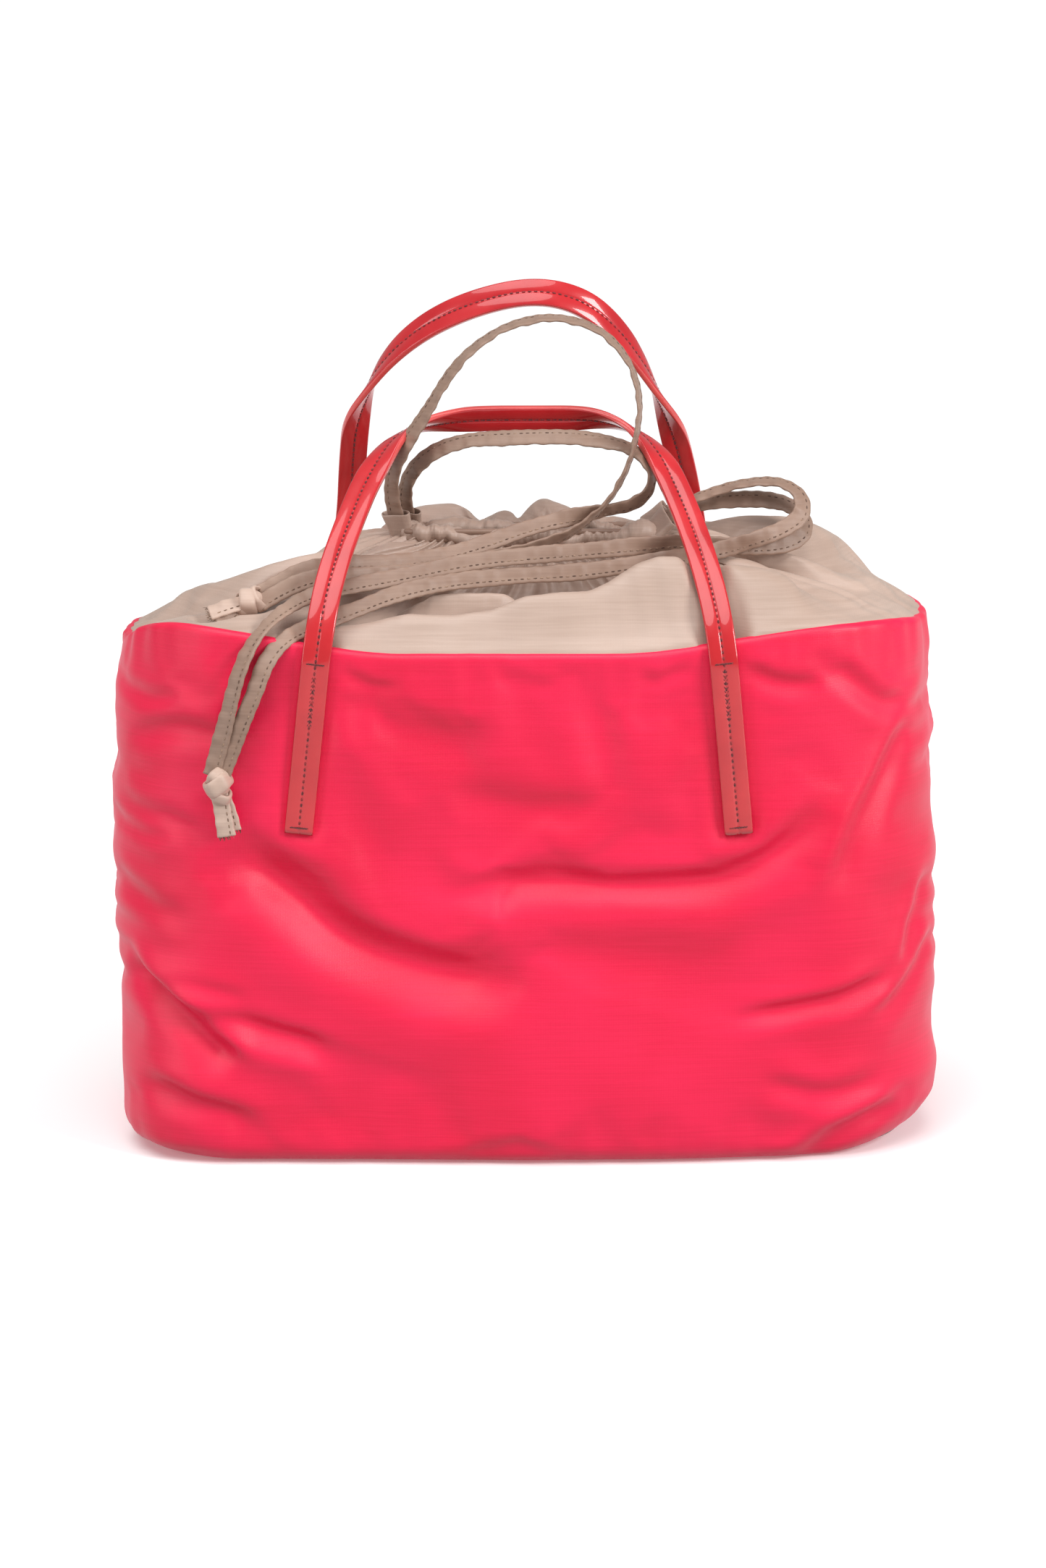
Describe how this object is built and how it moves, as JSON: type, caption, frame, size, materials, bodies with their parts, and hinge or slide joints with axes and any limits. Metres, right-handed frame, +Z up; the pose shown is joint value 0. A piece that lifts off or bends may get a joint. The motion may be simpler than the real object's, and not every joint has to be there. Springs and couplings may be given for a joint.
{
  "type": "foldable tote bag",
  "caption": "Soft padded nylon tote bag with a drawstring collar sewn inside the rim and two swinging strap handles.",
  "frame": {"origin": "middle of the face that the bag stands on", "axes": "+Z up, +X to the right and -Y forward as the front panel is looked at"},
  "size_m": [0.4, 0.1916, 0.4127],
  "materials": {
    "shell": "smooth padded nylon with a soft sheen",
    "wadding": "soft polyester wadding",
    "board": "matte flexible sheet",
    "lining": "plain nylon lining",
    "collar": "thin satin-faced nylon",
    "tape": "folded and edge-stitched nylon tape",
    "strap": "high-gloss patent",
    "patch": "non-woven reinforcement",
    "thread": "sewing thread"
  },
  "bodies": {
    "root": {"front_panel": "shell", "back_panel": "shell", "base_panel": "shell", "front_wadding": "wadding", "back_wadding": "wadding", "base_wadding": "wadding", "base_board": "board", "lining_front": "lining", "lining_back": "lining", "lining_base": "lining", "collar_front": "collar", "collar_back": "collar", "hem_front": "collar", "hem_back": "collar", "left_drawstring_in_hem": "tape", "right_drawstring_in_hem": "tape", "left_drawstring_long_loop": "tape", "left_drawstring_short_loop": "tape", "right_drawstring_front_run": "tape", "right_drawstring_back_run": "tape", "left_drawstring_knot": "tape", "right_drawstring_knot": "tape", "left_drawstring_tails": "tape", "right_drawstring_tails": "tape", "front_left_tab": "strap", "front_right_tab": "strap", "back_left_tab": "strap", "back_right_tab": "strap", "front_reinforcement_patches": "patch", "back_reinforcement_patches": "patch", "front_bar_tacks": "thread", "back_bar_tacks": "thread"},
    "front_handle": {"front_handle_strap": "strap"},
    "back_handle": {"back_handle_strap": "strap"}
  },
  "joints": [
    {"name": "front_handle_swing", "type": "hinge", "parent": "root", "child": "front_handle", "pos_m": [0, -0.0905, 0.248], "axis": [1, 0, 0], "range_deg": [0, 170], "deforming": ["left_drawstring_long_loop", "left_drawstring_short_loop"]},
    {"name": "back_handle_swing", "type": "hinge", "parent": "root", "child": "back_handle", "pos_m": [0, 0.0905, 0.248], "axis": [-1, 0, 0], "range_deg": [-4, 160]}
  ]
}
